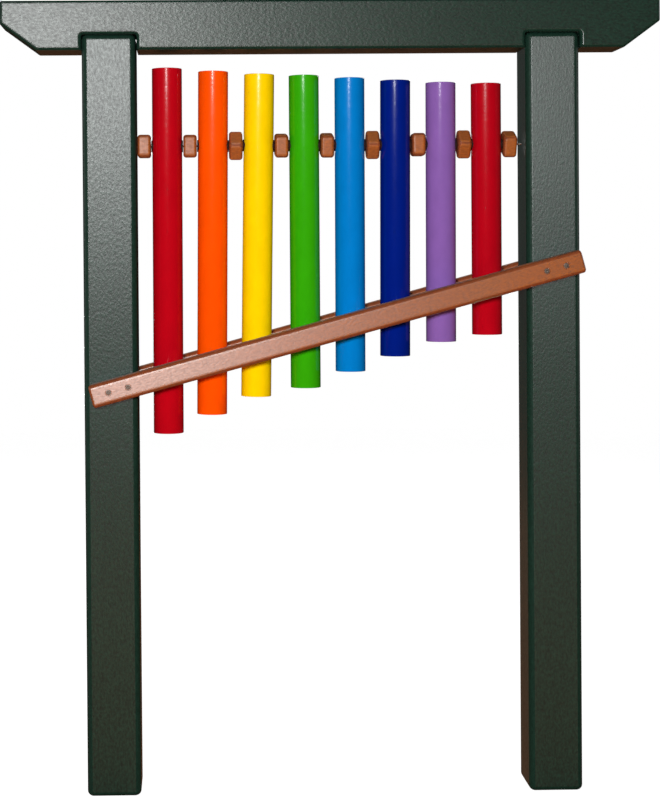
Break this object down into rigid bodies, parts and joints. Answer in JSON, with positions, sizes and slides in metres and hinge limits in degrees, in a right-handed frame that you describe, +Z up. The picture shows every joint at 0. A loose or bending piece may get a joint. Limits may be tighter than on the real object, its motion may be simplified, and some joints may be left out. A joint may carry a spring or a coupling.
{
  "type": "outdoor tube xylophone",
  "caption": "Freestanding outdoor xylophone: tuned metal tubes hang on a taut cable between square posts under a notched header, with sloping rails in front and behind.",
  "frame": {"origin": "on the ground midway between the posts, at the bottom centre of the whole object's box", "axes": "+Z up, +X from the long low-note tube to the short high-note tube, +Y from the front to the back"},
  "size_m": [1.09, 0.1652, 1.313],
  "materials": {
    "green_lumber": "satin, faintly grained recycled plastic lumber",
    "cedar_lumber": "satin, faintly grained recycled plastic lumber",
    "cable_steel": "bright stranded stainless steel",
    "fastener_steel": "satin stainless steel",
    "stop_aluminium": "satin",
    "grommet_rubber": "matt black",
    "red_enamel": "gloss powder coat on aluminium",
    "orange_enamel": "gloss powder coat on aluminium",
    "yellow_enamel": "gloss powder coat on aluminium",
    "green_enamel": "gloss powder coat on aluminium",
    "light_blue_enamel": "gloss powder coat on aluminium",
    "dark_blue_enamel": "gloss powder coat on aluminium",
    "purple_enamel": "gloss powder coat on aluminium"
  },
  "bodies": {
    "frame": {"left_post": "green_lumber", "right_post": "green_lumber", "header_beam": "green_lumber", "front_guide_rail": "cedar_lumber", "rear_guide_rail": "cedar_lumber", "suspension_cable": "cable_steel", "left_cable_washer": "fastener_steel", "right_cable_washer": "fastener_steel", "left_cable_stop": "stop_aluminium", "right_cable_stop": "stop_aluminium", "header_screws": "fastener_steel", "front_rail_screws": "fastener_steel", "rear_rail_screws": "fastener_steel"},
    "red_tube": {"red_tube": "red_enamel", "red_tube_grommets": "grommet_rubber"},
    "orange_tube": {"orange_tube": "orange_enamel", "orange_tube_grommets": "grommet_rubber"},
    "yellow_tube": {"yellow_tube": "yellow_enamel", "yellow_tube_grommets": "grommet_rubber"},
    "green_tube": {"green_tube": "green_enamel", "green_tube_grommets": "grommet_rubber"},
    "light_blue_tube": {"light_blue_tube": "light_blue_enamel", "light_blue_tube_grommets": "grommet_rubber"},
    "dark_blue_tube": {"dark_blue_tube": "dark_blue_enamel", "dark_blue_tube_grommets": "grommet_rubber"},
    "purple_tube": {"purple_tube": "purple_enamel", "purple_tube_grommets": "grommet_rubber"},
    "high_red_tube": {"high_red_tube": "red_enamel", "high_red_tube_grommets": "grommet_rubber"},
    "spacer_block_1": {"spacer_block_1": "cedar_lumber"},
    "spacer_block_2": {"spacer_block_2": "cedar_lumber"},
    "spacer_block_3": {"spacer_block_3": "cedar_lumber"},
    "spacer_block_4": {"spacer_block_4": "cedar_lumber"},
    "spacer_block_5": {"spacer_block_5": "cedar_lumber"},
    "spacer_block_6": {"spacer_block_6": "cedar_lumber"},
    "spacer_block_7": {"spacer_block_7": "cedar_lumber"},
    "spacer_block_8": {"spacer_block_8": "cedar_lumber"},
    "spacer_block_9": {"spacer_block_9": "cedar_lumber"}
  },
  "joints": [
    {"name": "red_tube_swing", "type": "hinge", "parent": "frame", "child": "red_tube", "pos_m": [-0.2711, 0, 1.0745], "axis": [1, 0, 0], "range_deg": [-2.8, 2.8]},
    {"name": "orange_tube_swing", "type": "hinge", "parent": "frame", "child": "orange_tube", "pos_m": [-0.1949, 0, 1.0745], "axis": [1, 0, 0], "range_deg": [-2.95, 2.95]},
    {"name": "yellow_tube_swing", "type": "hinge", "parent": "frame", "child": "yellow_tube", "pos_m": [-0.1187, 0, 1.0745], "axis": [1, 0, 0], "range_deg": [-3.1, 3.1]},
    {"name": "green_tube_swing", "type": "hinge", "parent": "frame", "child": "green_tube", "pos_m": [-0.0425, 0, 1.0745], "axis": [1, 0, 0], "range_deg": [-3.3, 3.3]},
    {"name": "light_blue_tube_swing", "type": "hinge", "parent": "frame", "child": "light_blue_tube", "pos_m": [0.0337, 0, 1.0745], "axis": [1, 0, 0], "range_deg": [-3.5, 3.5]},
    {"name": "dark_blue_tube_swing", "type": "hinge", "parent": "frame", "child": "dark_blue_tube", "pos_m": [0.1099, 0, 1.0745], "axis": [1, 0, 0], "range_deg": [-3.75, 3.75]},
    {"name": "purple_tube_swing", "type": "hinge", "parent": "frame", "child": "purple_tube", "pos_m": [0.1861, 0, 1.0745], "axis": [1, 0, 0], "range_deg": [-4.05, 4.05]},
    {"name": "high_red_tube_swing", "type": "hinge", "parent": "frame", "child": "high_red_tube", "pos_m": [0.2623, 0, 1.0745], "axis": [1, 0, 0], "range_deg": [-4.4, 4.4]},
    {"name": "spacer_block_1_spin", "type": "hinge", "parent": "frame", "child": "spacer_block_1", "pos_m": [-0.3092, 0, 1.0745], "axis": [1, 0, 0], "continuous": true},
    {"name": "spacer_block_2_spin", "type": "hinge", "parent": "frame", "child": "spacer_block_2", "pos_m": [-0.233, 0, 1.0745], "axis": [1, 0, 0], "continuous": true},
    {"name": "spacer_block_3_spin", "type": "hinge", "parent": "frame", "child": "spacer_block_3", "pos_m": [-0.1568, 0, 1.0745], "axis": [1, 0, 0], "continuous": true},
    {"name": "spacer_block_4_spin", "type": "hinge", "parent": "frame", "child": "spacer_block_4", "pos_m": [-0.0806, 0, 1.0745], "axis": [1, 0, 0], "continuous": true},
    {"name": "spacer_block_5_spin", "type": "hinge", "parent": "frame", "child": "spacer_block_5", "pos_m": [-0.0044, 0, 1.0745], "axis": [1, 0, 0], "continuous": true},
    {"name": "spacer_block_6_spin", "type": "hinge", "parent": "frame", "child": "spacer_block_6", "pos_m": [0.0718, 0, 1.0745], "axis": [1, 0, 0], "continuous": true},
    {"name": "spacer_block_7_spin", "type": "hinge", "parent": "frame", "child": "spacer_block_7", "pos_m": [0.148, 0, 1.0745], "axis": [1, 0, 0], "continuous": true},
    {"name": "spacer_block_8_spin", "type": "hinge", "parent": "frame", "child": "spacer_block_8", "pos_m": [0.2242, 0, 1.0745], "axis": [1, 0, 0], "continuous": true},
    {"name": "spacer_block_9_spin", "type": "hinge", "parent": "frame", "child": "spacer_block_9", "pos_m": [0.3004, 0, 1.0745], "axis": [1, 0, 0], "continuous": true}
  ]
}
